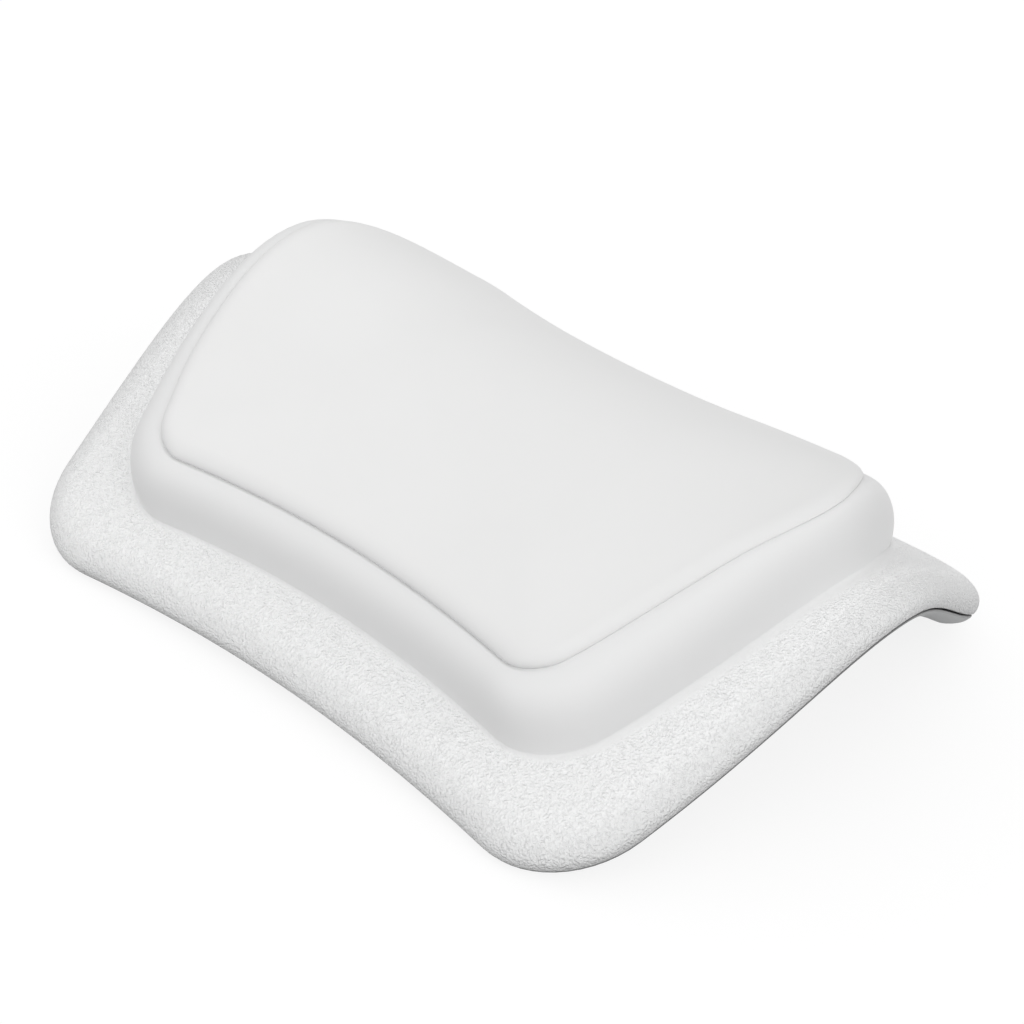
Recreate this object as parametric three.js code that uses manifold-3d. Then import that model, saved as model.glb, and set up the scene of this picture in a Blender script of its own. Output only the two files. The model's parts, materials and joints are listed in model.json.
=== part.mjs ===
import * as THREE from 'three';
import { mergeVertices } from 'three/addons/utils/BufferGeometryUtils.js';
import Module from 'manifold-3d';

// A moulded foam bath pillow: a wide arched flange, a bolster on it and a head pad on top.
// Millimetres, +Z up, X along the pillow, Y across it, standing on the lowest points of its rim.

// The saddle that every tier follows: a rounded ridge along X whose ends rise.
const ARCH_SLOPE = 0.53;
const ARCH_ROUND = 37;
const END_RISE = 8.6;
const END_RISE_POWER = 3;
const END_RISE_WIDTH = 83;

// The flange: its size over the ends and over the corners, and its rolled rim.
const FLANGE_LENGTH = 334;
const FLANGE_WIDTH = 282;
const FLANGE_CORNER = 32;
const FLANGE_END_BOW = 30.5;
const FLANGE_WAIST = 11.5;
const FLANGE_BOW_POWER = 1.6;
const RIM_ROUND = 13;
const RIM_DROP = 10.5;
const UNDER_ROUND = 3.3;

// The bolster, set in from the flange, and further in at the back, away from the bather.
const BOLSTER_END_MARGIN = 20.5;
const BOLSTER_SIDE_MARGIN = 28.5;
const BOLSTER_BACK_DRAW = 19.5;
const BOLSTER_CORNER = 23;
const BOLSTER_END_BOW = 37.5;
const BOLSTER_BOW_POWER = 1.4;
const BOLSTER_WAIST = 10.7;
const BOLSTER_HEIGHT = 21.7;
const BOLSTER_END_LIFT = 3;
const BOLSTER_FULLNESS = 2.25;

// The head pad, set in from the bolster, and further in at the back.
const PAD_END_MARGIN = 7.5;
const PAD_SIDE_MARGIN = 16.2;
const PAD_BACK_DRAW = 13.4;
const PAD_CORNER = 12.5;
const PAD_END_BOW = 44.2;
const PAD_BOW_POWER = 1.4;
const PAD_WAIST = 8.5;
const PAD_STEP = 3.1;
const PAD_EDGE_ROUND = 4;
const PAD_CROWN = 3.8;

// Skins, the clearance between pieces, and how far a skin runs under the tier above it.
const SKIN = 1.2;
const GAP = 0.3;
const TUCK = 7;
const REST_CUT = 0.5;

// The suction cups and the sockets that hold them.
const CUP_SPACING_X = 178;
const CUP_SPACING_Y = 138;
const CUP_RADIUS = 21;
const CUP_DEPTH = 12.5;
const CUP_WALL = 1.8;
const CUP_LIP = 1.6;
const CUP_HUB_RADIUS = 7.5;
const NECK_RADIUS = 4;
const HEAD_RADIUS = 6;
const HEAD_HEIGHT = 4;
const HEAD_CHAMFER = 1;
const SOCKET_RADIUS = 8;
const SOCKET_RIM_RADIUS = 11;
const SOCKET_LIP = 2.6;
const SOCKET_ROOF = 1.5;

// Facets. Those along the ends gather at the ridge, where the arch is tightest.
const SIDE_STEPS = 6;
const END_STEPS = 8;
const END_GATHER = 0.45;
const CORNER_STEPS = 4;
const ROUND_STEPS = 3;
const UNDER_STEPS = 2;
const WALL_STEPS = 4;
const TOP_STEPS = 4;
const SPAN_STEPS = 3;
const TURN_STEPS = 16;
const BELL_STEPS = 4;
const WELD = 1e-4;

const FOAM = { color: 0xe9e6dc, roughness: 0.95 };
const FILLING = { color: 0xece9e0, roughness: 0.95 };
const GRAINED_SKIN = { color: 0xe7e9ea, roughness: 0.62 };
const BACK_SKIN = { color: 0xdfe0e1, roughness: 0.55 };
const BOLSTER_SKIN = { color: 0xe9eaea, roughness: 0.5 };
const PAD_SKIN = { color: 0xebebeb, roughness: 0.5 };
const SOCKET_PLASTIC = { color: 0xdcdddd, roughness: 0.4 };
const CLEAR_VINYL = { color: 0xe4ecef, roughness: 0.2 };

const QUARTER = Math.PI / 2;
const wasm = await Module();
wasm.setup();

// Half lengths of a tier at its corners, with its length measured over the bowed ends.
function tier(length, width, shape) {
  return { halfX: length / 2 - shape.endBow, halfY: width / 2, ...shape };
}

const flange = tier(FLANGE_LENGTH, FLANGE_WIDTH, {
  corner: FLANGE_CORNER,
  endBow: FLANGE_END_BOW,
  bowPower: FLANGE_BOW_POWER,
  waist: FLANGE_WAIST,
  backDraw: 0,
});
const bolsterLength = FLANGE_LENGTH - 2 * BOLSTER_END_MARGIN;
const bolsterWidth = FLANGE_WIDTH - 2 * BOLSTER_SIDE_MARGIN;
const bolster = tier(bolsterLength, bolsterWidth, {
  corner: BOLSTER_CORNER,
  endBow: BOLSTER_END_BOW,
  bowPower: BOLSTER_BOW_POWER,
  waist: BOLSTER_WAIST,
  backDraw: BOLSTER_BACK_DRAW,
});
const padLength = bolsterLength - 2 * PAD_END_MARGIN;
const padWidth = bolsterWidth - 2 * PAD_SIDE_MARGIN;
const pad = tier(padLength, padWidth, {
  corner: PAD_CORNER,
  endBow: PAD_END_BOW,
  bowPower: PAD_BOW_POWER,
  waist: PAD_WAIST,
  backDraw: BOLSTER_BACK_DRAW + PAD_BACK_DRAW,
});
const flangeThickness = RIM_DROP + GAP + UNDER_ROUND;

// A tier's outline, set in by a distance: a rounded rectangle with bowed ends, a waist and a back drawn in.
function outline(shape, inset) {
  const corner = shape.corner - inset;
  const reachX = shape.halfX - inset - corner;
  const reachY = shape.halfY - inset - corner;
  const points = [];
  for (let quarter = 0; quarter < 4; quarter += 1) {
    const signX = quarter === 0 || quarter === 3 ? 1 : -1;
    const signY = quarter < 2 ? 1 : -1;
    for (let step = 0; step <= CORNER_STEPS; step += 1) {
      const angle = QUARTER * (quarter + step / CORNER_STEPS);
      const x = signX * reachX + corner * Math.cos(angle);
      const y = signY * reachY + corner * Math.sin(angle);
      points.push(new THREE.Vector2(x, y));
    }
    const alongSide = quarter % 2 === 0;
    const steps = alongSide ? SIDE_STEPS : END_STEPS;
    const from = points[points.length - 1];
    const to = alongSide ? new THREE.Vector2(-from.x, from.y) : new THREE.Vector2(from.x, -from.y);
    for (let step = 1; step < steps; step += 1) {
      const share = alongSide ? step / steps : gathered(step / steps);
      points.push(from.clone().lerp(to, share));
    }
  }
  return points.map((point) => bowed(shape, point));
}

// A share of the way along an end, with its steps closest together half way.
function gathered(share) {
  const signed = 2 * share - 1;
  return (1 + (1 - END_GATHER) * signed + END_GATHER * signed ** 3) / 2;
}

function bowed(shape, point) {
  const across = point.y / shape.halfY;
  const along = point.x / shape.halfX;
  const x = point.x + shape.endBow * along * (1 - Math.abs(across) ** shape.bowPower);
  const waisted = point.y - shape.waist * across * (1 - along * along);
  const y = waisted - shape.backDraw * Math.max(across, 0);
  return new THREE.Vector2(x, y);
}

// A point at a height above the saddle, measured square to it.
function drape(point, height) {
  const along = Math.abs(point.x) / flange.halfX;
  const bump = Math.exp(-((point.y / END_RISE_WIDTH) ** 2));
  const rise = END_RISE * along ** END_RISE_POWER * bump;
  const ridge = Math.hypot(point.y, ARCH_ROUND);
  const slopeX = END_RISE * END_RISE_POWER * along ** (END_RISE_POWER - 1) * bump / flange.halfX;
  const slopeY = -2 * rise * point.y / END_RISE_WIDTH ** 2 - ARCH_SLOPE * point.y / ridge;
  const normal = new THREE.Vector3(-slopeX * Math.sign(point.x), -slopeY, 1).normalize();
  const base = new THREE.Vector3(point.x, point.y, rise - ARCH_SLOPE * (ridge - ARCH_ROUND));
  return { normal, position: base.addScaledVector(normal, height) };
}

// One ring of a loft: an outline at a height, which may change along the outline.
function ring(points, height) {
  return points.map((point) => drape(point, height instanceof Function ? height(point) : height).position);
}

function scaled(points, factor) {
  return points.map((point) => point.clone().multiplyScalar(factor));
}

function blend(from, to, share) {
  return from.map((point, index) => point.clone().lerp(to[index], share));
}

// Rings from the middle out to an outline, without the middle point itself.
function span(points, height) {
  const rings = [];
  for (let step = 1; step <= SPAN_STEPS; step += 1) {
    rings.push(ring(scaled(points, step / SPAN_STEPS), height));
  }
  return rings;
}

function middle(height) {
  const centre = new THREE.Vector2(0, 0);
  return drape(centre, height instanceof Function ? height(centre) : height).position;
}

// Height of the ledge that the head pad lies on.
function ledge(offset) {
  return (point) => BOLSTER_HEIGHT + BOLSTER_END_LIFT * (point.x / pad.halfX) ** 2 + offset;
}

// The rolled rim of the flange, a depth below its outer surface, from the flat out to the parting line.
function rimRoll(depth) {
  const rings = [];
  for (let step = 0; step <= ROUND_STEPS; step += 1) {
    const angle = QUARTER * step / ROUND_STEPS;
    const inset = RIM_ROUND - (RIM_ROUND - depth) * Math.sin(angle);
    const drop = depth + (RIM_DROP - depth) * (1 - Math.cos(angle));
    rings.push(ring(outline(flange, inset), -drop));
  }
  return rings;
}

// The smooth edge below the parting line, from that line round to the underside.
function underRoll(depth) {
  const rings = [];
  const radius = UNDER_ROUND - depth;
  for (let step = 0; step <= UNDER_STEPS; step += 1) {
    const angle = QUARTER * step / UNDER_STEPS;
    const inset = depth + radius * (1 - Math.cos(angle));
    const drop = RIM_DROP + GAP + radius * Math.sin(angle);
    rings.push(ring(outline(flange, inset), -drop));
  }
  return rings;
}

// The flat of the flange from under the bolster to the start of its rim, at a depth.
function flangeFlat(depth, tuck) {
  return [ring(outline(bolster, tuck), -depth), ring(outline(bolster, 0), -depth)];
}

function flangeTop(depth, tuck) {
  return [...flangeFlat(depth, tuck), ...rimRoll(depth)];
}

// The bolster's full wall, a depth below its surface, from the pad line down to its foot.
function bolsterWall(depth) {
  const foot = outline(bolster, depth);
  const top = outline(pad, 0);
  const rings = [];
  for (let step = 0; step <= WALL_STEPS; step += 1) {
    const angle = QUARTER * (1 - step / WALL_STEPS);
    const share = Math.max(Math.cos(angle), 0) ** (2 / BOLSTER_FULLNESS);
    const climb = Math.sin(angle) ** (2 / BOLSTER_FULLNESS);
    const points = blend(top, foot, step === 0 ? 0 : share);
    const heights = top.map((point) => GAP + (ledge(-depth)(point) - GAP) * climb);
    rings.push(points.map((point, index) => drape(point, heights[index]).position));
  }
  return rings;
}

// The head pad's crowned top, a depth below its surface, and its rounded edge down to the ledge.
function padTop(depth) {
  const rings = [];
  const brow = outline(pad, PAD_EDGE_ROUND);
  for (let step = 1; step < TOP_STEPS; step += 1) {
    const share = step / TOP_STEPS;
    const crown = PAD_CROWN * (1 - share * share);
    rings.push(ring(scaled(brow, share), ledge(GAP + PAD_STEP + crown - depth)));
  }
  for (let step = 0; step <= ROUND_STEPS; step += 1) {
    const angle = QUARTER * step / ROUND_STEPS;
    const inset = PAD_EDGE_ROUND - (PAD_EDGE_ROUND - depth) * Math.sin(angle);
    const climb = (PAD_STEP - depth) * Math.cos(angle);
    rings.push(ring(outline(pad, inset), ledge(GAP + climb)));
  }
  return rings;
}

// How far a ring spreads about the middle.
function spread(points) {
  return points.reduce((total, point) => total + Math.hypot(point.x, point.y), 0);
}

// A closed mesh through rings of equal count. With end points it is closed by fans, without them it is a band.
// Each quad is split from its inner to its outer ring, so that facing surfaces have parallel facets.
function loft(rings, first, last) {
  const count = rings[0].length;
  const vertices = rings.flat();
  const faces = [];
  const strips = first ? rings.length - 1 : rings.length;
  for (let row = 0; row < strips; row += 1) {
    const next = (row + 1) % rings.length;
    const outward = spread(rings[next]) >= spread(rings[row]);
    for (let column = 0; column < count; column += 1) {
      const beside = (column + 1) % count;
      const [near, nearBeside] = [row * count + column, row * count + beside];
      const [far, farBeside] = [next * count + column, next * count + beside];
      if (outward) {
        faces.push(near, far, farBeside);
        faces.push(near, farBeside, nearBeside);
      } else {
        faces.push(near, far, nearBeside);
        faces.push(far, farBeside, nearBeside);
      }
    }
  }
  if (first) {
    const start = vertices.push(first) - 1;
    const end = vertices.push(last) - 1;
    const lastRow = (rings.length - 1) * count;
    for (let column = 0; column < count; column += 1) {
      const beside = (column + 1) % count;
      faces.push(start, column, beside);
      faces.push(end, lastRow + beside, lastRow + column);
    }
  }
  const geometry = new THREE.BufferGeometry().setFromPoints(vertices);
  geometry.setIndex(faces);
  return geometry;
}

function toManifold(geometry) {
  const bare = geometry.clone();
  bare.deleteAttribute('normal');
  bare.deleteAttribute('uv');
  const welded = mergeVertices(bare, WELD);
  const vertProperties = new Float32Array(welded.attributes.position.array);
  const triVerts = new Uint32Array(welded.index.array);
  return new wasm.Manifold(new wasm.Mesh({ numProp: 3, vertProperties, triVerts }));
}

function fromManifold(solid) {
  const mesh = solid.getMesh();
  const geometry = new THREE.BufferGeometry();
  geometry.setAttribute('position', new THREE.BufferAttribute(new Float32Array(mesh.vertProperties), 3));
  geometry.setIndex([...mesh.triVerts]);
  return geometry;
}

function cut(geometry, tools) {
  const solid = tools.reduce((left, tool) => left.subtract(toManifold(tool)), toManifold(geometry));
  return fromManifold(solid);
}

// Flange: foam, a grained upper skin and a smooth back skin that meets it at the parting line.
function makeFlangeSkin() {
  return loft([...flangeTop(0, TUCK), ...flangeTop(SKIN, TUCK).reverse()]);
}

function makeFlangeCore() {
  const depth = SKIN + GAP;
  const raised = outline(bolster, TUCK + GAP);
  const floor = -flangeThickness + depth;
  const underside = span(outline(flange, UNDER_ROUND), floor).slice(0, -1).reverse();
  const rings = [...span(raised, 0), ...flangeTop(depth, TUCK + GAP), ...underRoll(depth), ...underside];
  return loft(rings, middle(0), middle(floor));
}

function makeBackSkin() {
  const inner = span(outline(flange, UNDER_ROUND), -flangeThickness + SKIN).slice(0, -1);
  const outer = span(outline(flange, UNDER_ROUND), -flangeThickness).slice(0, -1);
  const rings = [...inner, ...underRoll(SKIN).reverse(), ...underRoll(0), ...outer.reverse()];
  return loft(rings, middle(-flangeThickness + SKIN), middle(-flangeThickness));
}

// Bolster: foam and a smooth skin whose upper edge runs under the head pad.
function makeBolsterSkin() {
  const inside = outline(pad, TUCK);
  const outer = [ring(inside, ledge(0)), ...bolsterWall(0)];
  const inner = [ring(inside, ledge(-SKIN)), ...bolsterWall(SKIN)];
  return loft([...outer, ...inner.reverse()]);
}

function makeBolsterCore() {
  const depth = SKIN + GAP;
  const raised = outline(pad, TUCK + GAP);
  const seat = ring(raised, ledge(-depth));
  const floor = span(outline(bolster, TUCK + GAP), GAP).reverse();
  const rings = [...span(raised, ledge(0)), seat, ...bolsterWall(depth), ...floor];
  return loft(rings, middle(ledge(0)), middle(GAP));
}

// Head pad: a soft filling and a smooth crowned skin, open below.
function makePadSkin() {
  const apex = GAP + PAD_STEP + PAD_CROWN;
  const rings = [...padTop(0), ...padTop(SKIN).reverse()];
  return loft(rings, middle(ledge(apex)), middle(ledge(apex - SKIN)));
}

function makePadCore() {
  const depth = SKIN + GAP;
  const apex = GAP + PAD_STEP + PAD_CROWN - depth;
  const floor = span(outline(pad, TUCK + GAP), ledge(GAP)).reverse();
  return loft([...padTop(depth), ...floor], middle(ledge(apex)), middle(ledge(GAP)));
}

// Turned pieces, drawn as radius against depth below the underside of the pillow.
function turned(profile) {
  const points = profile.map(([radius, depth]) => new THREE.Vector2(radius, depth));
  return new THREE.LatheGeometry(points, TURN_STEPS);
}

const pocketRoof = -(SOCKET_LIP + 2 * GAP + HEAD_HEIGHT);
const socketTop = pocketRoof - SOCKET_ROOF;

function makeSocket() {
  const bore = NECK_RADIUS + GAP;
  const pocket = HEAD_RADIUS + GAP;
  return turned([
    [0, socketTop],
    [SOCKET_RADIUS, socketTop],
    [SOCKET_RADIUS, -SKIN],
    [SOCKET_RIM_RADIUS, -SKIN],
    [SOCKET_RIM_RADIUS, 0],
    [bore, 0],
    [bore, -SOCKET_LIP],
    [pocket, -SOCKET_LIP],
    [pocket, pocketRoof],
    [0, pocketRoof],
  ]);
}

// The space that a socket needs in the foam and in the back skin.
function makeSocketSpace() {
  const reach = SOCKET_RIM_RADIUS + GAP;
  return turned([
    [0, socketTop - GAP],
    [SOCKET_RADIUS + GAP, socketTop - GAP],
    [SOCKET_RADIUS + GAP, -SKIN - GAP],
    [reach, -SKIN - GAP],
    [reach, SKIN],
    [0, SKIN],
  ]);
}

// The flared bell of a cup, as a quarter wave from its hub to its lip.
function bell(startRadius, startDepth, endRadius, endDepth) {
  const points = [];
  for (let step = 0; step <= BELL_STEPS; step += 1) {
    const angle = QUARTER * step / BELL_STEPS;
    const radius = startRadius + (endRadius - startRadius) * Math.sin(angle);
    points.push([radius, endDepth - (endDepth - startDepth) * Math.cos(angle)]);
  }
  return points;
}

function makeCup() {
  const headTop = pocketRoof + GAP;
  const headSeat = -SOCKET_LIP - GAP;
  const hubTop = GAP + HEAD_CHAMFER;
  const lipTop = CUP_DEPTH - CUP_LIP;
  return turned([
    [0, headTop],
    [HEAD_RADIUS - HEAD_CHAMFER, headTop],
    [HEAD_RADIUS, headTop + HEAD_CHAMFER],
    [HEAD_RADIUS, headSeat],
    [NECK_RADIUS, headSeat],
    [NECK_RADIUS, hubTop],
    ...bell(CUP_HUB_RADIUS, hubTop, CUP_RADIUS, lipTop),
    [CUP_RADIUS, CUP_DEPTH],
    ...bell(0, hubTop + 2 * CUP_WALL, CUP_RADIUS - CUP_LIP, CUP_DEPTH).reverse(),
  ]);
}

// Sets a turned piece on the underside at one corner, pointing square out of it.
function onUnderside(geometry, signX, signY) {
  const spot = new THREE.Vector2(signX * CUP_SPACING_X / 2, signY * CUP_SPACING_Y / 2);
  const { normal, position } = drape(spot, -flangeThickness);
  const turn = new THREE.Quaternion().setFromUnitVectors(new THREE.Vector3(0, 1, 0), normal.negate());
  const place = new THREE.Matrix4().compose(position, turn, new THREE.Vector3(1, 1, 1));
  return geometry.applyMatrix4(place);
}

const corners = [[1, 1], [-1, 1], [-1, -1], [1, -1]];
const socketSpaces = corners.map(([signX, signY]) => onUnderside(makeSocketSpace(), signX, signY));

// The rim's lowest points are flattened where the pillow stands.
const wholeBack = makeBackSkin();
wholeBack.computeBoundingBox();
const standing = wholeBack.boundingBox.min.z + REST_CUT;
const ground = new THREE.BoxGeometry(2 * FLANGE_LENGTH, 2 * FLANGE_WIDTH, FLANGE_LENGTH);
ground.translate(0, 0, standing - FLANGE_LENGTH / 2);

const group = new THREE.Group();

function add(name, geometry, finish) {
  geometry.translate(0, 0, -standing);
  geometry.computeVertexNormals();
  const material = new THREE.MeshStandardMaterial({ metalness: 0, ...finish });
  const mesh = new THREE.Mesh(geometry, material);
  mesh.name = name;
  group.add(mesh);
}

add('flange_core', cut(makeFlangeCore(), socketSpaces), FOAM);
add('flange_skin', makeFlangeSkin(), GRAINED_SKIN);
add('back_skin', cut(wholeBack, [ground, ...socketSpaces]), BACK_SKIN);
add('bolster_core', makeBolsterCore(), FOAM);
add('bolster_skin', makeBolsterSkin(), BOLSTER_SKIN);
add('pad_core', makePadCore(), FILLING);
add('pad_skin', makePadSkin(), PAD_SKIN);

corners.forEach(([signX, signY], index) => {
  add(`cup_socket_${index + 1}`, onUnderside(makeSocket(), signX, signY), SOCKET_PLASTIC);
  add(`suction_cup_${index + 1}`, onUnderside(makeCup(), signX, signY), CLEAR_VINYL);
});

export default group;
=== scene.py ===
import json
import math

import bmesh
import bpy
from mathutils import Matrix, Quaternion, Vector


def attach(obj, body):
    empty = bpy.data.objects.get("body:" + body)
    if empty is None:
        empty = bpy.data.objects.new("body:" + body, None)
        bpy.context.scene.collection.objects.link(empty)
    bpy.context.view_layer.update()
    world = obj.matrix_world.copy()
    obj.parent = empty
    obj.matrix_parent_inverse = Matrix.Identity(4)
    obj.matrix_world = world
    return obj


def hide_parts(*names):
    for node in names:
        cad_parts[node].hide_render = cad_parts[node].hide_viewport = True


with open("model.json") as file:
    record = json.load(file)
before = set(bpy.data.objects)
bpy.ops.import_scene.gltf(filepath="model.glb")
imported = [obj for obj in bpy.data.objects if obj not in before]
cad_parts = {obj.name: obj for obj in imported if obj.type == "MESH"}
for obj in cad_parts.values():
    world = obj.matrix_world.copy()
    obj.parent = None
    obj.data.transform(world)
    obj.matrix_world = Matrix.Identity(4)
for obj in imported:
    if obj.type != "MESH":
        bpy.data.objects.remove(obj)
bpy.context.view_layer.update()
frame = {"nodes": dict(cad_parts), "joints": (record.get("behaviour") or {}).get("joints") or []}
mm = 0.001
quarter = math.pi / 2
print("frame loaded:", len(frame["nodes"]), "nodes")

# the saddle that all tiers follow, and the outline of each tier, in mm
saddle = {
    "archSlope": 0.53,
    "archRound": 37.0,
    "endRise": 8.6,
    "endRisePower": 3,
    "endRiseWidth": 83.0,
}
flangeTier = {
    "length": 334.0,
    "width": 282.0,
    "corner": 32.0,
    "endBow": 30.5,
    "bowPower": 1.6,
    "waist": 11.5,
    "backDraw": 0.0,
    "leftDraw": 0.0,
    "rightDraw": 0.0,
}
bolsterTier = {
    "length": 293.0,
    "width": 225.0,
    "corner": 23.0,
    "endBow": 37.5,
    "bowPower": 1.4,
    "waist": 10.7,
    "backDraw": 19.5,
    "leftDraw": 0.0,
    "rightDraw": 0.0,
}
padTier = {
    "length": 278.0,
    "width": 192.6,
    "corner": 12.5,
    "endBow": 44.2,
    "bowPower": 1.4,
    "waist": 8.5,
    "backDraw": 32.9,
    "leftDraw": 5.6,  # at the middle and back of the left end
    "rightDraw": 3.0,  # at the front of the right end
}
leftReach = 0.75  # share of the half width over which the left draw comes in
tipRound = 0.1  # share of the half width that is rounded at the tip of an end
poleShare = 0.001  # share of the outline in the last loop before a pole
loopSteps = {"corner": 14, "side": 44, "end": 44}
cupPlace = {"x": 89.0, "y": 69.0, "below": 14.1}  # where a cup's axis leaves the underside


def softStep(share):
    share = min(max(share, 0.0), 1.0)
    return share * share * (3 - 2 * share)


def softPower(share, power):
    # a power of the share that is rounded where it meets zero
    lowest = tipRound ** power
    highest = (1 + tipRound ** 2) ** (power / 2)
    return ((share * share + tipRound ** 2) ** (power / 2) - lowest) / (highest - lowest)


def between(pair, share):
    return pair[0] + (pair[1] - pair[0]) * share


def halfLength(tier):
    return tier["length"] / 2 - tier["endBow"]


def bowed(tier, x, y):
    across = y / (tier["width"] / 2)
    along = x / halfLength(tier)
    bow = tier["endBow"] * along * (1 - softPower(across, tier["bowPower"]))
    # the pad's two ends differ a little
    if along > 0:
        bow -= tier["rightDraw"] * (along * math.sin(math.pi * min(across, 0.0))) ** 2
    else:
        bow += tier["leftDraw"] * along ** 2 * softStep(1 + across / leftReach)
    draw = tier["waist"] * across * (1 - along * along) + tier["backDraw"] * max(across, 0.0)
    return Vector((x + bow, y - draw))


def outline(tier, inset):
    # a rounded rectangle, anticlockwise from the end at +X,
    # then bowed at the ends and drawn in at the sides
    corner = tier["corner"] - inset
    reachX = halfLength(tier) - inset - corner
    reachY = tier["width"] / 2 - inset - corner
    spots = []
    for side in range(4):
        signX = 1 if side in (0, 3) else -1
        signY = 1 if side < 2 else -1
        for step in range(loopSteps["corner"] + 1):
            angle = quarter * (side + step / loopSteps["corner"])
            x = signX * reachX + corner * math.cos(angle)
            y = signY * reachY + corner * math.sin(angle)
            spots.append((x, y))
        startX, startY = spots[-1]
        alongSide = side % 2 == 0
        steps = loopSteps["side"] if alongSide else loopSteps["end"]
        for step in range(1, steps):
            share = 1 - 2 * step / steps
            spots.append((startX * share, startY) if alongSide else (startX, startY * share))
    return [bowed(tier, x, y) for x, y in spots]


def saddleAt(spot):
    # the saddle's normal and height
    along = abs(spot.x) / halfLength(flangeTier)
    bump = math.exp(-((spot.y / saddle["endRiseWidth"]) ** 2))
    power = saddle["endRisePower"]
    rise = saddle["endRise"] * along ** power * bump
    ridge = math.hypot(spot.y, saddle["archRound"])
    slopeX = saddle["endRise"] * power * along ** (power - 1) * bump / halfLength(flangeTier)
    slopeY = -2 * rise * spot.y / saddle["endRiseWidth"] ** 2 - saddle["archSlope"] * spot.y / ridge
    height = rise - saddle["archSlope"] * (ridge - saddle["archRound"])
    return Vector((-math.copysign(slopeX, spot.x), -slopeY, 1)).normalized(), height


def draped(spot, height, lift):
    normal, ground = saddleAt(spot)
    return Vector((spot.x, spot.y, ground + lift)) + normal * height


# the frame stands on its rim, so the first cup's seat gives the height of the saddle
seatSpot = Vector((cupPlace["x"], cupPlace["y"]))
seatHeight = frame["joints"][0]["pos_m"][2] / mm
standLift = seatHeight - draped(seatSpot, -cupPlace["below"], 0.0).z


def placed(spot, height):
    # a point of a piece, in metres
    return draped(spot, height, standLift) * mm


def ringAt(spots, height):
    # one loop of a piece, at a height that may change along it
    heights = height if callable(height) else (lambda spot: height)
    return [placed(spot, heights(spot)) for spot in spots]


def scaledSpots(spots, share):
    return [spot * share for spot in spots]


def mixedSpots(first, second, share):
    return [a.lerp(b, share) for a, b in zip(first, second)]


def endShares(spots):
    # how far each point of an outline faces along the pillow,
    # from 0 on the long sides to 1 on the ends
    shares = []
    for index in range(len(spots)):
        way = (spots[(index + 1) % len(spots)] - spots[index - 1]).normalized()
        shares.append(way.y * way.y)
    return shares


def startLoop(bm, ring):
    verts = bmesh.ops.create_circle(bm, cap_ends=False, segments=len(ring), radius=1.0)["verts"]
    for vert, spot in zip(verts, ring):
        vert.co = spot
    return verts


def loopEdges(bm, verts):
    return [bm.edges.get((vert, verts[index - 1])) for index, vert in enumerate(verts)]


def growLoop(bm, verts, ring):
    grown = bmesh.ops.extrude_edge_only(bm, edges=loopEdges(bm, verts))["geom"]
    fresh = {item for item in grown if isinstance(item, bmesh.types.BMVert)}
    nextVerts = []
    for vert, spot in zip(verts, ring):
        neighbours = [edge.other_vert(vert) for edge in vert.link_edges]
        nextVert = next(other for other in neighbours if other in fresh)
        nextVert.co = spot
        nextVerts.append(nextVert)
    return nextVerts


def finishPiece(name, bm, material):
    bmesh.ops.recalc_face_normals(bm, faces=bm.faces)
    for face in bm.faces:
        face.smooth = True
    mesh = bpy.data.meshes.new(name)
    bm.to_mesh(mesh)
    bm.free()
    piece = bpy.data.objects.new(name, mesh)
    bpy.context.scene.collection.objects.link(piece)
    mesh.materials.append(material)
    return piece


def loftedPiece(name, rings, material, poles=None, marks=None):
    # poles close both ends at a point, and without them the last loop joins the first
    # marks give each loop a value, or each of its points one, for the material to read
    bm = bmesh.new()
    layers = {label: bm.verts.layers.float.new(label) for label in (marks or {})}
    loops = [startLoop(bm, rings[0])]
    for ring in rings[1:]:
        loops.append(growLoop(bm, loops[-1], ring))
    for label, layer in layers.items():
        for loop, value in zip(loops, marks[label]):
            for index, vert in enumerate(loop):
                vert[layer] = softStep(value[index] if isinstance(value, list) else value)
    if poles:
        bmesh.ops.pointmerge(bm, verts=loops[0], merge_co=poles[0])
        bmesh.ops.pointmerge(bm, verts=loops[-1], merge_co=poles[1])
    else:
        bmesh.ops.bridge_loops(bm, edges=loopEdges(bm, loops[0]) + loopEdges(bm, loops[-1]))
    return finishPiece(name, bm, material)


# materials
grainLook = {
    "pitch": 1250.0,  # pebbles to a metre, about
    "winding": 0.2,
    "hollowSpan": 0.2,  # from the middle level to a pebble's top or to the bottom of a hollow
    "relief": 0.0008,  # in metres
    "gloss": 0.4,
}
mottleLook = {
    "cloudScale": 22.0,
    "poreScale": 1500.0,
    "poreDepth": 0.00006,  # in metres
    "poreStrength": 0.35,
    "gloss": 0.35,
}
flangeLook = {
    "light": (0.955, 0.957, 0.958),
    # colour of the hollows: painted shade in the grain's hollows
    "shade": (0.91, 0.912, 0.913),
    "crease": (0.765, 0.766, 0.766),  # painted shade, where the grain fades out beside the bolster
    # edge colour: painted shade towards the flange's rim
    "edge": (0.8, 0.802, 0.803),
    "rough": (0.5, 0.68),
}
# a darker copy of the pad's white skin: painted shade on the bolster's walls
bolsterLook = {
    "light": (0.818, 0.819, 0.819),
    "shade": (0.8, 0.801, 0.801),
    # edge colour: painted shade low on the end walls
    "edge": (0.74, 0.741, 0.741),
    "rough": (0.46, 0.56),
}
padLook = {
    "light": (0.85, 0.85, 0.848),
    "shade": (0.825, 0.825, 0.822),
    # edge colour: painted shade along the pad's edge and in the groove
    "edge": (0.73, 0.73, 0.73),
    "rough": (0.46, 0.56),
}
backLook = {
    "light": (0.79, 0.8, 0.805),
    "shade": (0.75, 0.76, 0.765),
    # edge colour: painted shadow, a dark line at the seam and a greyer rolled underside
    "edge": (0.2, 0.2, 0.2),
    "rough": (0.5, 0.6),
}
socketLook = {
    "light": (0.74, 0.75, 0.75),
    "shade": (0.7, 0.71, 0.71),
    "rough": (0.32, 0.42),
}
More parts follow.
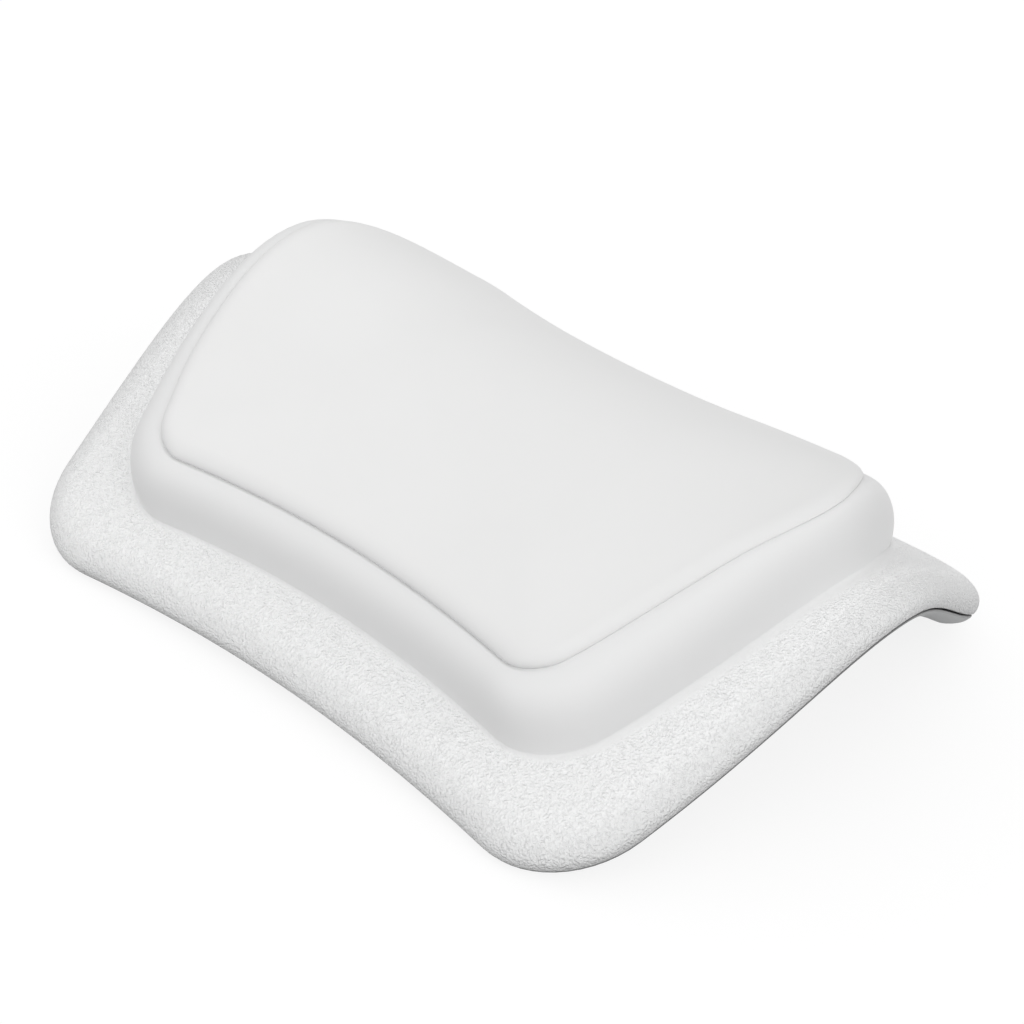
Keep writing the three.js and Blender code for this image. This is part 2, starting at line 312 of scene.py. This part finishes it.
cupLook = {
    "light": (0.96, 0.975, 0.98),
    "shade": (0.92, 0.95, 0.96),
    "rough": (0.12, 0.24),
    "cloudScale": 60.0,
    "clear": 0.55,
    "refraction": 1.5,
}


def newMaterial(name):
    material = bpy.data.materials.new(name)
    material.use_nodes = True
    tree = material.node_tree
    return material, tree, tree.nodes["Principled BSDF"]


def setInputs(node, inputs):
    for key, value in inputs.items():
        node.inputs[key.replace("_", " ")].default_value = value
    return node


def addNode(tree, kind, **inputs):
    return setInputs(tree.nodes.new(kind), inputs)


def newGroup(name, inputs, outputs):
    group = bpy.data.node_groups.new(name, "ShaderNodeTree")
    sockets = group.interface
    for label, value in inputs.items():
        socket = sockets.new_socket(name=label, in_out="INPUT", socket_type="NodeSocketFloat")
        socket.default_value = value
    for label in outputs:
        sockets.new_socket(name=label, in_out="OUTPUT", socket_type="NodeSocketFloat")
    return group, group.nodes.new("NodeGroupOutput")


def placeGroup(tree, group, **inputs):
    node = tree.nodes.new("ShaderNodeGroup")
    node.node_tree = group
    return setInputs(node, inputs)


def mathNode(tree, operation, first, second):
    # the second value is a number or a socket
    node = tree.nodes.new("ShaderNodeMath")
    node.operation = operation
    tree.links.new(first, node.inputs[0])
    if isinstance(second, float):
        node.inputs[1].default_value = second
    else:
        tree.links.new(second, node.inputs[1])
    return node.outputs["Value"]


def makeGrainGroup():
    # moulded leather grain: fine winding pebbles of one size, fading out where the mark grainReach
    # is low; that mark also sets the painted crease shade
    inputs = {"Pitch": grainLook["pitch"]}
    group, result = newGroup("mouldedGrain", inputs, ["Height", "Hollow", "Reach"])
    links = group.links
    given = group.nodes.new("NodeGroupInput")
    coord = group.nodes.new("ShaderNodeTexCoord")
    reach = group.nodes.new("ShaderNodeAttribute")
    reach.attribute_name = "grainReach"
    pebble = addNode(
        group, "ShaderNodeTexNoise", Detail=0.0, Roughness=0.5, Distortion=grainLook["winding"])
    links.new(coord.outputs["Object"], pebble.inputs["Vector"])
    links.new(given.outputs["Pitch"], pebble.inputs["Scale"])
    # the noise is levelled about zero, so that the fade makes no step
    level = mathNode(group, "SUBTRACT", pebble.outputs["Fac"], 0.5)
    faded = mathNode(group, "MULTIPLY", level, reach.outputs["Fac"])
    links.new(faded, result.inputs["Height"])
    span = grainLook["hollowSpan"]
    hollow = addNode(group, "ShaderNodeMapRange", From_Min=span, From_Max=-span)
    links.new(faded, hollow.inputs["Value"])
    links.new(hollow.outputs["Result"], result.inputs["Hollow"])
    links.new(reach.outputs["Fac"], result.inputs["Reach"])
    return group


def makePaintedShadeGroup():
    # painted shade: how deeply a rim, a groove or a seam is darkened, read from the painted-shade
    # mark of each piece
    group, result = newGroup("edgeTint", {}, ["Shade"])
    shade = group.nodes.new("ShaderNodeAttribute")
    shade.attribute_name = "edgeShade"
    group.links.new(shade.outputs["Fac"], result.inputs["Shade"])
    return group


def makeMottleGroup():
    # faint clouding and pores of a smooth moulded skin
    inputs = {"Cloud Scale": mottleLook["cloudScale"], "Pore Scale": mottleLook["poreScale"]}
    group, result = newGroup("skinMottle", inputs, ["Cloud", "Pores"])
    links = group.links
    given = group.nodes.new("NodeGroupInput")
    coord = group.nodes.new("ShaderNodeTexCoord")
    for label, out, detail in (("Cloud Scale", "Cloud", 4.0), ("Pore Scale", "Pores", 2.0)):
        noise = addNode(group, "ShaderNodeTexNoise", Detail=detail, Roughness=0.6)
        links.new(coord.outputs["Object"], noise.inputs["Vector"])
        links.new(given.outputs[label], noise.inputs["Scale"])
        links.new(noise.outputs["Fac"], result.inputs[out])
    return group


grainGroup = makeGrainGroup()
paintedShadeGroup = makePaintedShadeGroup()
mottleGroup = makeMottleGroup()


def mixColors(tree, factor, low, high):
    mix = tree.nodes.new("ShaderNodeMix")
    mix.data_type = "RGBA"
    mix.inputs["A"].default_value = (*low, 1.0)
    mix.inputs["B"].default_value = (*high, 1.0)
    tree.links.new(factor, mix.inputs["Factor"])
    return mix.outputs["Result"]


def mapValue(tree, value, low, high):
    remap = addNode(tree, "ShaderNodeMapRange", To_Min=low, To_Max=high)
    tree.links.new(value, remap.inputs["Value"])
    return remap.outputs["Result"]


def addBump(tree, shader, height, distance, strength):
    bump = addNode(tree, "ShaderNodeBump", Distance=distance, Strength=strength)
    tree.links.new(height, bump.inputs["Height"])
    tree.links.new(bump.outputs["Normal"], shader.inputs["Normal"])


# paints shade: mixes a colour towards a darker edge colour where the painted-shade mark is high
def paintEdgeShade(tree, color, edge):
    mask = placeGroup(tree, paintedShadeGroup)
    tinted = mixColors(tree, mask.outputs["Shade"], edge, edge)
    tree.links.new(color, tinted.node.inputs["A"])
    return tinted


def smoothSkin(name, look):
    material, tree, shader = newMaterial(name)
    mottle = placeGroup(tree, mottleGroup)
    cloud = mottle.outputs["Cloud"]
    skin = mixColors(tree, cloud, look["shade"], look["light"])
    if "edge" in look:
        skin = paintEdgeShade(tree, skin, look["edge"])
    tree.links.new(skin, shader.inputs["Base Color"])
    tree.links.new(mapValue(tree, cloud, *look["rough"]), shader.inputs["Roughness"])
    pores = mottle.outputs["Pores"]
    addBump(tree, shader, pores, mottleLook["poreDepth"], mottleLook["poreStrength"])
    shader.inputs["Specular IOR Level"].default_value = mottleLook["gloss"]
    return material


def grainedSkin(name, look):
    material, tree, shader = newMaterial(name)
    grain = placeGroup(tree, grainGroup)
    hollow = grain.outputs["Hollow"]
    # painted shade: the grain's hollows take the darker colour
    pebbled = mixColors(tree, hollow, look["light"], look["shade"])
    # painted shade in the crease beside the bolster, where the grain has not yet faded in
    skin = mixColors(tree, grain.outputs["Reach"], look["crease"], look["light"])
    tree.links.new(pebbled, skin.node.inputs["B"])
    tree.links.new(paintEdgeShade(tree, skin, look["edge"]), shader.inputs["Base Color"])
    tree.links.new(mapValue(tree, hollow, *look["rough"]), shader.inputs["Roughness"])
    addBump(tree, shader, grain.outputs["Height"], grainLook["relief"], 1.0)
    shader.inputs["Specular IOR Level"].default_value = grainLook["gloss"]
    return material


def clearVinyl(name, look):
    material, tree, shader = newMaterial(name)
    mottle = placeGroup(tree, mottleGroup, Cloud_Scale=look["cloudScale"])
    cloud = mottle.outputs["Cloud"]
    tint = mixColors(tree, cloud, look["shade"], look["light"])
    tree.links.new(tint, shader.inputs["Base Color"])
    tree.links.new(mapValue(tree, cloud, *look["rough"]), shader.inputs["Roughness"])
    shader.inputs["Transmission Weight"].default_value = look["clear"]
    shader.inputs["IOR"].default_value = look["refraction"]
    return material


flangeFinish = grainedSkin("grainedFlangeSkin", flangeLook)
bolsterFinish = smoothSkin("smoothBolsterSkin", bolsterLook)
padFinish = smoothSkin("smoothPadSkin", padLook)
backFinish = smoothSkin("smoothBackSkin", backLook)
socketFinish = smoothSkin("satinSocketPlastic", socketLook)
cupFinish = clearVinyl("clearCupVinyl", cupLook)
print("materials made")

# head pad
padShape = {
    "ledge": 21.7,
    "endLift": 3.0,
    "leftLift": 4.2,  # at the arch's crest on the left end
    "leftStart": 42.0,
    "leftSpan": 60.0,
    "crest": 8.0,
    "crestReach": 60.0,
    "rightDip": 3.0,  # at the crest of the right end
    "rightStart": 60.0,
    "rightSpan": 70.0,
    "dip": -4.0,
    "dipReach": 30.0,
    "step": 3.6,
    "edgeRound": 6.5,
    "edgeTurn": (112.0, 88.0),  # in degrees, on the long sides and on the ends
    "edgeInset": 0.3,
    "crown": 4.0,
    "crownPower": 3.0,
    "groove": (0.7, 0.1),
    "edgeSteps": 12,
    "topSteps": 34,
    "under": 8.0,
    "sink": 1.0,  # how far the underside lies below the groove
    "footInset": 1.2,
    "edgeShade": (0.15, 1.0),  # painted shade, from the brow of the edge down to the groove
    "endFade": 0.55,  # how much fainter that painted shade is on the ends
}


def ledgeHeight(offset):
    # the pad's line lifts towards both ends,
    # a little more at the crest on the left and less at the crest on the right
    def height(spot):
        lift = padShape["endLift"] * (spot.x / halfLength(padTier)) ** 2
        leftShare = softStep(-(spot.x + padShape["leftStart"]) / padShape["leftSpan"])
        crestShare = 1 - softStep(abs(spot.y - padShape["crest"]) / padShape["crestReach"])
        lift += padShape["leftLift"] * leftShare * crestShare
        rightShare = softStep((spot.x - padShape["rightStart"]) / padShape["rightSpan"])
        dipShare = 1 - softStep(abs(spot.y - padShape["dip"]) / padShape["dipReach"])
        lift -= padShape["rightDip"] * rightShare * dipShare
        return padShape["ledge"] + lift + offset

    return height


def padEdgeSpot(inner, outer, level, end):
    # the edge turns from the brow down into the groove
    turn = math.radians(between(padShape["edgeTurn"], end))
    groove = between(padShape["groove"], end)
    spot = inner.lerp(outer, math.sin(turn * level) / math.sin(turn))
    rise = (math.cos(turn * level) - math.cos(turn)) / (1 - math.cos(turn))
    return placed(spot, ledgeHeight((padShape["step"] + groove) * rise - groove)(spot))


def makeHeadPad():
    under = outline(padTier, padShape["under"])
    brow = outline(padTier, padShape["edgeRound"])
    edge = outline(padTier, padShape["edgeInset"])
    ends = endShares(outline(padTier, 0.0))
    sunk = ledgeHeight(-padShape["sink"])
    rings = [
        ringAt(scaledSpots(under, poleShare), sunk),
        ringAt(under, sunk),
        ringAt(outline(padTier, padShape["footInset"]), sunk),
    ]
    # painted shade along the pad's edge, deepest at the groove
    paintedShades = [0.0, 0.0, 1.0]
    for step in range(padShape["edgeSteps"] + 1):
        level = 1 - step / padShape["edgeSteps"]
        shade = between(padShape["edgeShade"], level)
        rings.append([
            padEdgeSpot(inner, outer, level, end) for inner, outer, end in zip(brow, edge, ends)])
        paintedShades.append([shade * (1 - padShape["endFade"] * end) for end in ends])
    for step in range(1, padShape["topSteps"] + 1):
        share = 1 - step / padShape["topSteps"]
        crown = padShape["crown"] * (1 - share ** padShape["crownPower"])
        top = ledgeHeight(padShape["step"] + crown)
        rings.append(ringAt(scaledSpots(brow, max(share, poleShare)), top))
        paintedShades.append(0.0)
    middle = Vector((0.0, 0.0))
    lowest = padShape["ledge"] - padShape["sink"]
    highest = padShape["ledge"] + padShape["step"] + padShape["crown"]
    poles = [placed(middle, lowest), placed(middle, highest)]
    return loftedPiece("headPad", rings, padFinish, poles, {"edgeShade": paintedShades})


headPad = makeHeadPad()
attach(headPad, "pillow")
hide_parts("pad_skin", "pad_core")
print("head pad made")

# bolster
bolsterShape = {
    "fullness": 2.25,
    "wallSteps": 30,
    "wallEase": 1.5,  # crowds the loops towards the groove
    "grooveDepth": (0.6, 0.0),  # on the long sides and on the ends
    "grooveWidth": (0.6, 1.2),
    "footSink": 0.4,
    "lipInset": 1.5,
    "lipDrop": 0.8,
    "tuck": 6.0,
    "tuckDrop": 2.2,
}


def bolsterSpot(edge, base, climb, end):
    # the wall is a superellipse from the pad's line to the foot
    full = bolsterShape["fullness"]
    spot = edge.lerp(base, max(1 - climb ** full, 0.0) ** (1 / full))
    reach = (spot - edge).length / between(bolsterShape["grooveWidth"], end)
    groove = between(bolsterShape["grooveDepth"], end) * math.exp(-reach * reach)
    sink = bolsterShape["footSink"] * (1 - climb)
    return placed(spot, ledgeHeight(0.0)(edge) * climb - groove - sink)


def makeBolster():
    lip = outline(padTier, 0.0)
    foot = outline(bolsterTier, 0.0)
    ends = endShares(foot)
    rings = [
        ringAt(outline(padTier, bolsterShape["tuck"]), ledgeHeight(-bolsterShape["tuckDrop"])),
        ringAt(outline(padTier, bolsterShape["lipInset"]), ledgeHeight(-bolsterShape["lipDrop"])),
    ]
    paintedShades = [0.0, 0.0]
    for step in range(bolsterShape["wallSteps"] + 1):
        share = (step / bolsterShape["wallSteps"]) ** bolsterShape["wallEase"]
        climb = math.sin(quarter * (1 - share)) ** (2 / bolsterShape["fullness"])
        rings.append([
            bolsterSpot(edge, base, climb, end) for edge, base, end in zip(lip, foot, ends)])
        # painted shade, darker low on the walls of the ends
        paintedShades.append([end * (1 - climb) for end in ends])
    rings.append(ringAt(outline(bolsterTier, bolsterShape["tuck"]), -2 * bolsterShape["footSink"]))
    return loftedPiece("bolster", rings, bolsterFinish, marks={"edgeShade": paintedShades})


bolster = makeBolster()
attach(bolster, "pillow")
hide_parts("bolster_skin", "bolster_core")
print("bolster made")

# flange
flangeShape = {
    "rimReach": 20.0,
    "rimFullness": 2.3,
    "backLift": 2.6,  # how much thicker the flange is at the back
    "backReach": 80.0,
    "rimPaintedShade": 13.0,  # painted shade: the skin is darkened towards the edge over this width
    "rimDrop": 10.5,
    "skin": 1.2,
    "fillet": (1.0, 2.0),  # up the bolster's wall, on the long sides and on the ends
    "filletReach": (1.6, 4.0),  # out over the flange
    "filletSteps": 8,
    "hiddenInset": 0.6,  # the fillet's top runs on inside the bolster
    "hiddenLift": 0.8,
    "grainStart": (2.2, 6.0),  # the grain fades in over this width beside the crease, and the painted crease shade fades out
    "flatSteps": 14,
    "rimSteps": 24,
    "curlDrop": 2.5,
    "curlInset": 0.5,
    "curlTurn": 58.0,  # in degrees
    "curlSteps": 6,
    "tuck": 7.0,
}


def backShare(spot):
    # from 0 on the crest of the arch to 1 towards the back
    return softStep(spot.y / flangeShape["backReach"])


def rimHeight(inset, spot):
    # a superellipse, level in the middle of the flange and upright at its edge
    share = max(1 - inset / flangeShape["rimReach"], 0.0)
    full = flangeShape["rimFullness"]
    climb = (1 - share ** full) ** (1 / full)
    drop = flangeShape["rimDrop"] - flangeShape["curlDrop"]
    return drop * (climb - 1) + flangeShape["backLift"] * climb * backShare(spot)


def grainReaches(spots, foot, fades):
    # how far the grain has faded in, from the bolster's foot outwards
    return [(spot - base).length / fade for spot, base, fade in zip(spots, foot, fades)]


def makeFlange():
    foot = outline(bolsterTier, 0.0)
    edge = outline(flangeTier, 0.0)
    tucked = outline(bolsterTier, flangeShape["tuck"])
    hidden = outline(bolsterTier, flangeShape["hiddenInset"])
    widest = flangeShape["filletReach"][1]
    beside = outline(bolsterTier, -widest)
    ends = endShares(foot)
    fillets = [between(flangeShape["fillet"], end) for end in ends]
    widths = [between(flangeShape["filletReach"], end) for end in ends]
    fades = [between(flangeShape["grainStart"], end) for end in ends]
    lift = flangeShape["hiddenLift"]
    rings = [ringAt(tucked, 0.0)]
    rings.append([placed(spot, fillet + lift) for spot, fillet in zip(hidden, fillets)])
    reaches = [0.0, 0.0]
    paintedShades = [0.0, 0.0]
    # fillet at the foot of the bolster
    for step in range(flangeShape["filletSteps"] + 1):
        angle = quarter * step / flangeShape["filletSteps"]
        spots = []
        ring = []
        for base, wide, outer, fillet, width in zip(foot, beside, edge, fillets, widths):
            spot = base.lerp(wide, width / widest * (1 - math.cos(angle)))
            climb = fillet * (1 - math.sin(angle)) + rimHeight((outer - spot).length, spot)
            spots.append(spot)
            ring.append(placed(spot, climb))
        rings.append(ring)
        reaches.append(grainReaches(spots, foot, fades))
        paintedShades.append(0.0)
    # from the fillet to the rim
    starts = spots
    rim = outline(flangeTier, flangeShape["rimReach"] / 2)
    for step in range(1, flangeShape["flatSteps"] + 1):
        spots = mixedSpots(starts, rim, step / flangeShape["flatSteps"])
        insets = [(outer - spot).length for spot, outer in zip(spots, edge)]
        rings.append([placed(spot, rimHeight(inset, spot)) for spot, inset in zip(spots, insets)])
        reaches.append(grainReaches(spots, foot, fades))
        # painted shade, darker towards the rim's edge and all over the curl
        paintedShades.append([1 - inset / flangeShape["rimPaintedShade"] for inset in insets])
    for step in range(1, flangeShape["rimSteps"] + 1):
        inset = flangeShape["rimReach"] / 2 * (1 - step / flangeShape["rimSteps"]) ** 2
        rings.append([placed(spot, rimHeight(inset, spot)) for spot in outline(flangeTier, inset)])
        reaches.append(1.0)
        paintedShades.append(1 - inset / flangeShape["rimPaintedShade"])
    # the edge curls under to the seam
    full = math.radians(flangeShape["curlTurn"])
    for step in range(1, flangeShape["curlSteps"] + 1):
        turn = full * step / flangeShape["curlSteps"]
        inset = flangeShape["curlInset"] * (1 - math.cos(turn)) / (1 - math.cos(full))
        drop = flangeShape["curlDrop"] * math.sin(turn) / math.sin(full)
        height = flangeShape["curlDrop"] - flangeShape["rimDrop"] - drop
        rings.append(ringAt(outline(flangeTier, inset), height))
        reaches.append(1.0)
        paintedShades.append(1.0)
    seam = flangeShape["curlInset"] + flangeShape["skin"]
    rings.append(ringAt(outline(flangeTier, seam), -flangeShape["rimDrop"]))
    rings.append(ringAt(outline(flangeTier, flangeShape["rimReach"]), -2 * flangeShape["skin"]))
    rings.append(ringAt(tucked, -flangeShape["skin"]))
    marks = {"grainReach": reaches, "edgeShade": paintedShades}
    return loftedPiece("flange", rings, flangeFinish, marks=marks)


flange = makeFlange()
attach(flange, "pillow")
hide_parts("flange_skin", "flange_core")
print("flange made")

# smooth back, with a hole for each socket
backShape = {
    "top": 11.3,
    "bottom": 14.1,
    "backRoll": 2.6,  # how much deeper the edge rolls under at the back
    "rollSteps": 4,
    # painted shade: how grey the rolled underside is painted
    "rollPaintedShade": 0.42,
    "seamPaintedShade": 1.1,  # painted shadow: a thin dark line of this height is painted at the gap of the seam
    "seamInset": 0.5,
    "seamTurn": 30.0,  # in degrees, how far the rim has curled at the seam
    "underSteps": 12,
    "sheetSteps": 24,
    "skin": 1.2,
    "edge": 0.3,
    "holeRadius": 11.3,
    "holeDepth": 8.0,
    "holeSides": 64,
}


def cupTurns():
    # the place and turn of each cup, with its axis along Z
    for joint in frame["joints"]:
        axis = Vector(joint["axis"]).normalized()
        place = Matrix.Translation(Vector(joint["pos_m"]))
        yield place @ axis.to_track_quat("Z", "Y").to_matrix().to_4x4()


def underHeight(drop, share):
    return lambda spot: -drop - backShape["backRoll"] * share * backShare(spot)


def makeBack():
    top, bottom = backShape["top"], backShape["bottom"]
    first = math.radians(backShape["seamTurn"])
    roundness = (bottom - top) / (1 - math.sin(first))
    under = outline(flangeTier, backShape["seamInset"] + roundness * math.cos(first))
    # inner face, from its middle out to the seam
    inner = backShape["skin"] - bottom
    rings = [ringAt(scaledSpots(under, poleShare), inner)]
    for step in range(1, backShape["sheetSteps"] + 1):
        rings.append(ringAt(scaledSpots(under, step / backShape["sheetSteps"]), inner))
    # painted shadow at the seam and painted shade on the roll
    paintedShades = [0.0] * len(rings) + [1.0, 1.0]
    seam = backShape["seamInset"] + backShape["edge"]
    rings.append(ringAt(outline(flangeTier, seam + backShape["skin"]), -top))
    rings.append(ringAt(outline(flangeTier, seam), -top))
    # round the rolled edge
    for step in range(1, backShape["underSteps"] + 1):
        share = step / backShape["underSteps"]
        turn = first + (quarter - first) * step / backShape["underSteps"]
        inset = backShape["seamInset"] + roundness * (math.cos(first) - math.cos(turn))
        drop = top + roundness * (math.sin(turn) - math.sin(first))
        rings.append(ringAt(outline(flangeTier, inset), underHeight(drop, share)))
        paintedShades.append(max(1 - (drop - top) / backShape["seamPaintedShade"], backShape["rollPaintedShade"]))
    # outer face, back to its middle
    for step in range(1, backShape["sheetSteps"]):
        deeper = softStep(1 - step / backShape["rollSteps"])
        spots = scaledSpots(under, 1 - step / backShape["sheetSteps"])
        rings.append(ringAt(spots, underHeight(bottom, deeper)))
        paintedShades.append(backShape["rollPaintedShade"] * deeper)
    rings.append(ringAt(scaledSpots(under, poleShare), -bottom))
    paintedShades.append(0.0)
    middle = Vector((0.0, 0.0))
    poles = [placed(middle, inner), placed(middle, -bottom)]
    back = loftedPiece("backSkin", rings, backFinish, poles, {"edgeShade": paintedShades})
    for vert in back.data.vertices:
        vert.co.z = max(vert.co.z, 0.0)  # flat where the pillow stands
    return back


def cutSocketHoles(back):
    radius, depth = backShape["holeRadius"] * mm, backShape["holeDepth"] * mm
    bm = bmesh.new()
    for turn in cupTurns():
        bmesh.ops.create_cone(
            bm, cap_ends=True, segments=backShape["holeSides"],
            radius1=radius, radius2=radius, depth=depth, matrix=turn)
    cutter = finishPiece("holeCutter", bm, backFinish)
    trim = back.modifiers.new("socketHoles", "BOOLEAN")
    trim.operation = "DIFFERENCE"
    trim.solver = "EXACT"
    trim.object = cutter
    bpy.context.view_layer.update()
    holed = back.evaluated_get(bpy.context.evaluated_depsgraph_get())
    cut = bpy.data.meshes.new_from_object(holed)
    back.modifiers.clear()
    back.data = cut
    bpy.data.objects.remove(cutter)


back = makeBack()
cutSocketHoles(back)
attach(back, "pillow")
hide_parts("back_skin")
print("back made")

# sockets and suction cups, drawn as radius and depth in mm below the underside
socketShape = {
    "rim": 11.0,
    "rimBevel": 0.3,
    "skin": 1.2,
    "body": 8.0,
    "bodyBevel": 0.5,
    "bore": 4.3,
    "boreBevel": 0.4,
    "lip": 2.6,
    "pocket": 6.3,
    "roof": 7.2,
    "top": 8.7,
}
cupShape = {
    "radius": 21.0,
    "depth": 12.5,
    "lip": 1.6,
    "lipBevel": 0.4,
    "hub": 7.5,
    "hubTop": 1.3,
    "wall": 1.8,
    "neck": 4.0,
    "neckBevel": 0.6,
    "head": 6.0,
    "headTop": -6.9,
    "headSeat": -2.9,
    "headRound": 1.0,
    "headBrow": 0.3,
    "bellSteps": 14,
}
turnSteps = 64
mergeDistance = 1e-6


def turnedPiece(name, profile, turn, material):
    bm = bmesh.new()
    verts = [bm.verts.new((radius * mm, 0.0, depth * mm)) for radius, depth in profile]
    edges = [bm.edges.new(pair) for pair in zip(verts, verts[1:])]
    bmesh.ops.spin(
        bm, geom=verts + edges, cent=(0, 0, 0), axis=(0, 0, 1), dvec=(0, 0, 0),
        angle=2 * math.pi, steps=turnSteps, use_merge=True, use_duplicate=False)
    bmesh.ops.remove_doubles(bm, verts=bm.verts, dist=mergeDistance)
    bmesh.ops.transform(bm, matrix=turn, verts=bm.verts)
    return finishPiece(name, bm, material)


def socketProfile():
    rim, body, bore = socketShape["rim"], socketShape["body"], socketShape["bore"]
    skin, lip, pocket = socketShape["skin"], socketShape["lip"], socketShape["pocket"]
    roof, top = socketShape["roof"], socketShape["top"]
    rimBevel, boreBevel = socketShape["rimBevel"], socketShape["boreBevel"]
    bodyBevel = socketShape["bodyBevel"]
    return [
        (0, -top), (body - bodyBevel, -top), (body, -top + bodyBevel), (body, -skin),
        (rim, -skin), (rim, -rimBevel), (rim - rimBevel, 0), (bore + boreBevel, 0),
        (bore, -boreBevel), (bore, -lip), (pocket, -lip), (pocket, -roof), (0, -roof)]


def bellCurve(startRadius, startDepth, endRadius, endDepth):
    points = []
    for step in range(cupShape["bellSteps"] + 1):
        angle = quarter * step / cupShape["bellSteps"]
        radius = startRadius + (endRadius - startRadius) * math.sin(angle)
        points.append((radius, endDepth - (endDepth - startDepth) * math.cos(angle)))
    return points


def cupProfile():
    radius, depth, lip = cupShape["radius"], cupShape["depth"], cupShape["lip"]
    hub, hubTop, neck = cupShape["hub"], cupShape["hubTop"], cupShape["neck"]
    head, headTop, headSeat = cupShape["head"], cupShape["headTop"], cupShape["headSeat"]
    headRound, headBrow = cupShape["headRound"], cupShape["headBrow"]
    neckBevel, lipBevel = cupShape["neckBevel"], cupShape["lipBevel"]
    outer = bellCurve(hub, hubTop, radius, depth - lip)
    inner = bellCurve(0.0, hubTop + 2 * cupShape["wall"], radius - lip, depth)
    return [
        (0, headTop), (head - headRound, headTop), (head - headBrow, headTop + headBrow),
        (head, headTop + headRound), (head, headSeat), (neck, headSeat),
        (neck, hubTop - neckBevel), (neck + neckBevel, hubTop), *outer,
        (radius, depth - lipBevel), (radius - lipBevel, depth), *reversed(inner)]


for number, turn in enumerate(cupTurns(), 1):
    socket = turnedPiece(f"cupSocket{number}", socketProfile(), turn, socketFinish)
    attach(socket, "pillow")
    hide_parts(f"cup_socket_{number}")
    cup = turnedPiece(f"suctionCup{number}", cupProfile(), turn, cupFinish)
    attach(cup, f"cup_{number}")
    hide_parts(f"suction_cup_{number}")
print("sockets and cups made")

# floor, light and camera
stage = {
    "floorSize": 6.0,
    "floorColor": (0.2, 0.2, 0.2),
    "floorRough": 0.9,
    "floorGlow": 0.83,
    "skyStrength": 0.715,
}
lamps = {
    "front": {"from": (0.0, -0.97, 0.25), "strength": 0.88},
    "side": {"from": (0.97, 0.0, 0.25), "strength": 0.68},
    "high": {"from": (0.43, -0.56, 0.71), "strength": 0.24},
    "left": {"from": (-0.8, 0.0, 0.6), "strength": 0.03},
    "back": {"from": (0.0, 0.97, 0.25), "strength": 0.12},
}
lampSpread = 60.0  # in degrees
photoView = {
    "eye": (0.4337, -0.5575, 0.4549),
    "target": (-0.0009, -0.0051, 0.0326),
    "rollDegrees": 7.44,
    "lens": 74.2,
    "sensor": 36.0,
    "nearest": 0.01,
}
white = (1.0, 1.0, 1.0, 1.0)


def backdropGlow(tree):
    # one where the backdrop is seen, directly or in a gloss or through a clear piece
    path = tree.nodes.new("ShaderNodeLightPath")
    total = path.outputs["Is Camera Ray"]
    for label in ("Is Glossy Ray", "Is Transmission Ray"):
        total = mathNode(tree, "MAXIMUM", total, path.outputs[label])
    return total


def makeFloor():
    bm = bmesh.new()
    bmesh.ops.create_grid(bm, x_segments=1, y_segments=1, size=stage["floorSize"])
    material, tree, shader = newMaterial("paleFloor")
    shader.inputs["Base Color"].default_value = (*stage["floorColor"], 1.0)
    shader.inputs["Roughness"].default_value = stage["floorRough"]
    shader.inputs["Specular IOR Level"].default_value = 0.0
    shader.inputs["Emission Color"].default_value = white
    glow = mapValue(tree, backdropGlow(tree), 0.0, stage["floorGlow"])
    tree.links.new(glow, shader.inputs["Emission Strength"])
    floor = finishPiece("floor", bm, material)


def makeWorld():
    world = bpy.data.worlds.new("studioSky")
    world.use_nodes = True
    tree = world.node_tree
    background = tree.nodes["Background"]
    background.inputs["Color"].default_value = white
    strength = mapValue(tree, backdropGlow(tree), stage["skyStrength"], 1.0)
    tree.links.new(strength, background.inputs["Strength"])
    bpy.context.scene.world = world


def makeLamps():
    for name, lamp in lamps.items():
        light = bpy.data.lights.new(name, "SUN")
        light.energy = lamp["strength"]
        light.angle = math.radians(lampSpread)
        sun = bpy.data.objects.new(name, light)
        sun.rotation_mode = "QUATERNION"
        sun.rotation_quaternion = Vector(lamp["from"]).to_track_quat("Z", "Y")
        bpy.context.scene.collection.objects.link(sun)


def makeCamera():
    camera = bpy.data.objects.new("photoCamera", bpy.data.cameras.new("photoCamera"))
    camera.data.lens = photoView["lens"]
    camera.data.sensor_width = photoView["sensor"]
    camera.data.clip_start = photoView["nearest"]
    eye = Vector(photoView["eye"])
    camera.location = eye
    camera.rotation_mode = "QUATERNION"
    aim = (Vector(photoView["target"]) - eye).to_track_quat("-Z", "Y")
    roll = Quaternion((0, 0, 1), math.radians(photoView["rollDegrees"]))
    camera.rotation_quaternion = aim @ roll
    bpy.context.scene.collection.objects.link(camera)
    bpy.context.scene.camera = camera


makeFloor()
makeWorld()
makeLamps()
makeCamera()
bpy.context.scene.view_settings.view_transform = "Standard"
print("stage made")
